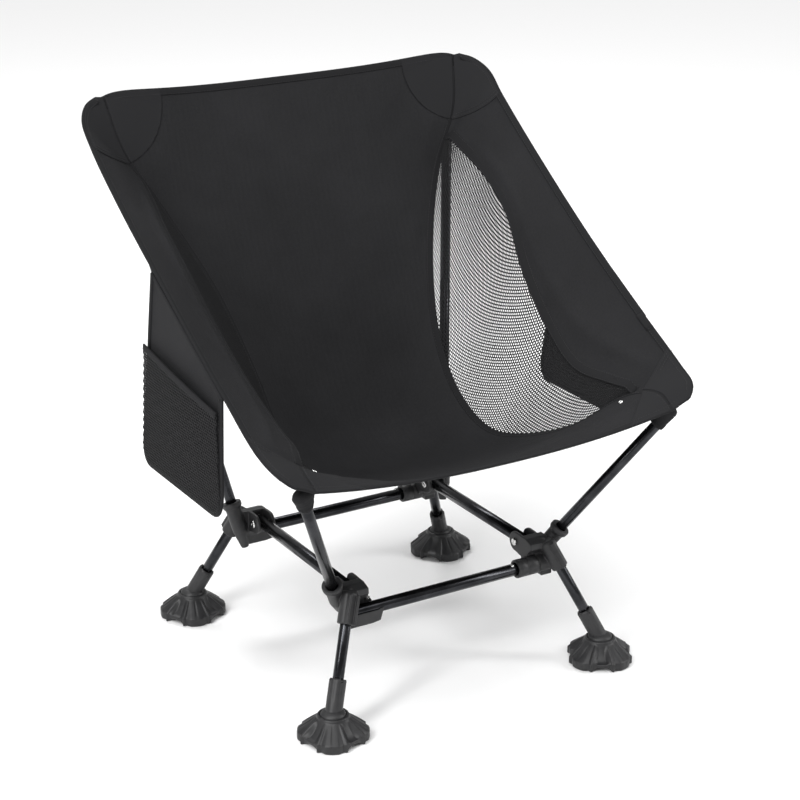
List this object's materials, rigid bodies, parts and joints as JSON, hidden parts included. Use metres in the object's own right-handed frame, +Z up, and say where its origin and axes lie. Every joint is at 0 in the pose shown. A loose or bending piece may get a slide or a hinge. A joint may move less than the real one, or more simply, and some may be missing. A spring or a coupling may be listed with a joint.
{
  "type": "ultralight backpacking chair",
  "caption": "Low camping chair: a fabric bucket seat hung on angled tubes that plug into moulded hubs, with side rails, cross bars and ball-jointed feet.",
  "frame": {"origin": "middle of the chair's box on the floor under the four feet", "axes": "+Z up, the sitter faces -Y, +X to the right as seen from the front"},
  "size_m": [0.5844, 0.5049, 0.6633],
  "materials": {
    "anodised_tube": "black anodised, satin",
    "hub_plastic": "moulded nylon, fine grain",
    "foot_plastic": "moulded nylon, satin",
    "rivet_steel": "bright",
    "seat_cloth": "dark ripstop weave",
    "open_mesh": "black open net",
    "binding": "woven webbing",
    "shock_cord": "braided sheath"
  },
  "bodies": {
    "side_rails": {"side_rail_left": "anodised_tube", "side_rail_right": "anodised_tube", "rail_plug_front_left": "hub_plastic", "rail_plug_front_right": "hub_plastic", "rail_plug_rear_left": "hub_plastic", "rail_plug_rear_right": "hub_plastic", "seat_panel": "seat_cloth", "mesh_panel_left": "open_mesh", "mesh_panel_right": "open_mesh", "wing_panel_left": "seat_cloth", "wing_panel_right": "seat_cloth", "storage_flap_left": "seat_cloth", "storage_flap_right": "seat_cloth", "storage_net_left": "open_mesh", "storage_net_right": "open_mesh", "corner_pocket_front_left": "seat_cloth", "corner_pocket_front_right": "seat_cloth", "corner_pocket_rear_left": "seat_cloth", "corner_pocket_rear_right": "seat_cloth", "edge_tab": "binding"},
    "front_frame": {"cross_bar_front": "anodised_tube", "bar_collar_front": "hub_plastic", "hub_front_left": "hub_plastic", "rivet_front_left": "rivet_steel", "hub_front_right": "hub_plastic", "rivet_front_right": "rivet_steel", "front_pole_left": "anodised_tube", "front_pole_cap_left": "hub_plastic", "front_shock_cord_left": "shock_cord", "front_pole_right": "anodised_tube", "front_pole_cap_right": "hub_plastic", "front_shock_cord_right": "shock_cord"},
    "rear_frame": {"cross_bar_rear": "anodised_tube", "bar_collar_rear": "hub_plastic", "hub_rear_left": "hub_plastic", "rivet_rear_left": "rivet_steel", "hub_rear_right": "hub_plastic", "rivet_rear_right": "rivet_steel", "rear_pole_lower_left": "anodised_tube", "rear_pole_upper_left": "anodised_tube", "rear_pole_ferrule_left": "anodised_tube", "rear_pole_cap_left": "hub_plastic", "rear_shock_cord_left": "shock_cord", "rear_pole_lower_right": "anodised_tube", "rear_pole_upper_right": "anodised_tube", "rear_pole_ferrule_right": "anodised_tube", "rear_pole_cap_right": "hub_plastic", "rear_shock_cord_right": "shock_cord"},
    "leg_front_left": {"leg_front_left": "anodised_tube", "foot_sleeve_front_left": "hub_plastic"},
    "foot_front_left": {"foot_front_left": "foot_plastic"},
    "leg_front_right": {"leg_front_right": "anodised_tube", "foot_sleeve_front_right": "hub_plastic"},
    "foot_front_right": {"foot_front_right": "foot_plastic"},
    "leg_rear_left": {"leg_rear_left": "anodised_tube", "foot_sleeve_rear_left": "hub_plastic"},
    "foot_rear_left": {"foot_rear_left": "foot_plastic"},
    "leg_rear_right": {"leg_rear_right": "anodised_tube", "foot_sleeve_rear_right": "hub_plastic"},
    "foot_rear_right": {"foot_rear_right": "foot_plastic"}
  },
  "joints": [
    {"name": "rear_fold", "type": "hinge", "parent": "side_rails", "child": "rear_frame", "pos_m": [0, 0.0918, 0.1424], "axis": [-1, 0, 0], "range_deg": [0, 50], "deforming": ["seat_panel", "mesh_panel_left", "mesh_panel_right", "wing_panel_left", "wing_panel_right", "storage_flap_left", "storage_flap_right", "storage_net_left", "storage_net_right", "corner_pocket_front_left", "corner_pocket_front_right", "corner_pocket_rear_left", "corner_pocket_rear_right", "edge_tab"]},
    {"name": "front_fold", "type": "hinge", "parent": "side_rails", "child": "front_frame", "pos_m": [0, -0.1162, 0.1424], "axis": [1, 0, 0], "range_deg": [0, 50]},
    {"name": "leg_pull_front_left", "type": "slide", "parent": "front_frame", "child": "leg_front_left", "axis": [-0.3602, -0.3428, -0.8676], "range_m": [0, 0.018], "stiffness_N_per_m": 150, "springref_m": -0.02},
    {"name": "foot_tilt_front_left", "type": "hinge", "parent": "leg_front_left", "child": "foot_front_left", "pos_m": [-0.186, -0.1957, 0.0275], "axis": [0.6894, -0.7244, 0], "range_deg": [-8, 8]},
    {"name": "leg_pull_front_right", "type": "slide", "parent": "front_frame", "child": "leg_front_right", "axis": [0.3602, -0.3428, -0.8676], "range_m": [0, 0.018], "stiffness_N_per_m": 150, "springref_m": -0.02},
    {"name": "foot_tilt_front_right", "type": "hinge", "parent": "leg_front_right", "child": "foot_front_right", "pos_m": [0.186, -0.1957, 0.0275], "axis": [0.6894, 0.7244, 0], "range_deg": [-8, 8]},
    {"name": "leg_pull_rear_left", "type": "slide", "parent": "rear_frame", "child": "leg_rear_left", "axis": [-0.3602, 0.3428, -0.8676], "range_m": [0, 0.018], "stiffness_N_per_m": 150, "springref_m": -0.02},
    {"name": "foot_tilt_rear_left", "type": "hinge", "parent": "leg_rear_left", "child": "foot_rear_left", "pos_m": [-0.186, 0.1713, 0.0275], "axis": [-0.6894, -0.7244, 0], "range_deg": [-8, 8]},
    {"name": "leg_pull_rear_right", "type": "slide", "parent": "rear_frame", "child": "leg_rear_right", "axis": [0.3602, 0.3428, -0.8676], "range_m": [0, 0.018], "stiffness_N_per_m": 150, "springref_m": -0.02},
    {"name": "foot_tilt_rear_right", "type": "hinge", "parent": "leg_rear_right", "child": "foot_rear_right", "pos_m": [0.186, 0.1713, 0.0275], "axis": [-0.6894, 0.7244, 0], "range_deg": [-8, 8]}
  ],
  "couplings": [
    {"joint": "front_fold", "follows": "rear_fold", "ratio": 1}
  ]
}
